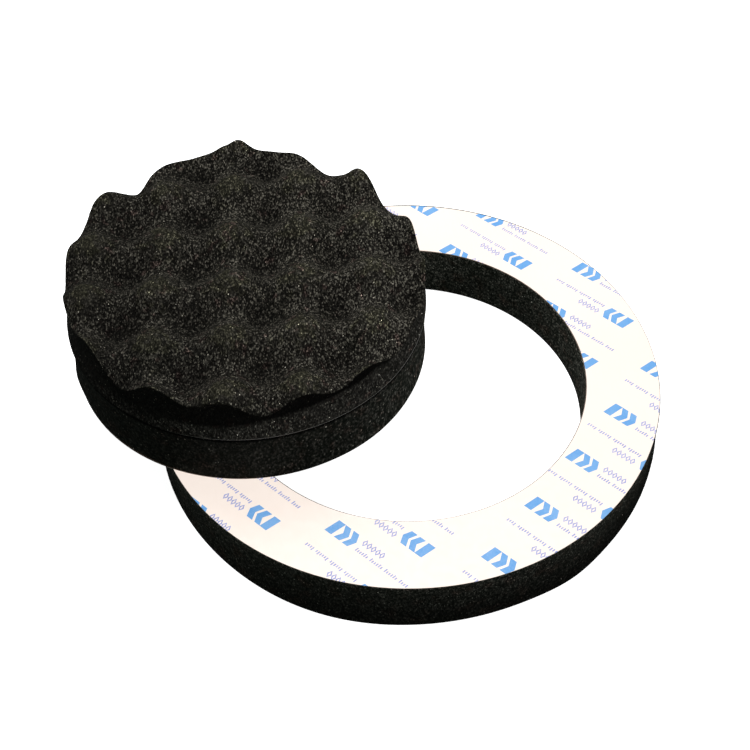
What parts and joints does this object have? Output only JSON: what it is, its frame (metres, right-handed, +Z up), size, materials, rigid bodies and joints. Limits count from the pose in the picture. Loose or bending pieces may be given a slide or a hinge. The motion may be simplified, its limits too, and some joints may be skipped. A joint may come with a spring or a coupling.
{
  "type": "acoustic foam ring and pad set",
  "caption": "Self-adhesive foam ring with a printed release liner, and its punched-out round foam pad with a convoluted egg-crate top.",
  "frame": {"origin": "on the axis of the ring's hole, at the underside of the ring, where the set lies on a table", "axes": "+Z up along the axis of the hole, +X to the right along the set's longest side, +Y away from the front"},
  "size_m": [0.2325, 0.2, 0.0713],
  "materials": {
    "ring_foam_black": "matte",
    "pad_foam_black": "matte",
    "waffle_foam_black": "matte",
    "liner_paper": "satin",
    "tissue": "matte",
    "adhesive": "gloss",
    "print_blue": "satin"
  },
  "bodies": {
    "ring": {"ring_foam": "ring_foam_black", "ring_tape_foam_adhesive": "adhesive", "ring_tape_tissue": "tissue", "ring_tape_outer_adhesive": "adhesive"},
    "ring_liner": {"ring_release_liner": "liner_paper"},
    "pad_liner": {"pad_release_liner": "liner_paper"},
    "pad": {"base_tape_outer_adhesive": "adhesive", "base_tape_tissue": "tissue", "base_tape_foam_adhesive": "adhesive", "base_foam": "pad_foam_black", "bond_tape_lower_adhesive": "adhesive", "bond_tape_tissue": "tissue", "bond_tape_upper_adhesive": "adhesive", "waffle_foam": "waffle_foam_black"}
  },
  "joints": [
    {"name": "ring_liner_peel", "type": "slide", "parent": "ring", "child": "ring_liner", "axis": [0, 0, 1], "range_m": [0, 0.04]},
    {"name": "pad_lift", "type": "slide", "parent": "ring_liner", "child": "pad_liner", "axis": [0, 0, 1], "range_m": [0, 0.08]},
    {"name": "pad_liner_peel", "type": "slide", "parent": "pad_liner", "child": "pad", "axis": [0, 0, 1], "range_m": [0, 0.04]}
  ]
}
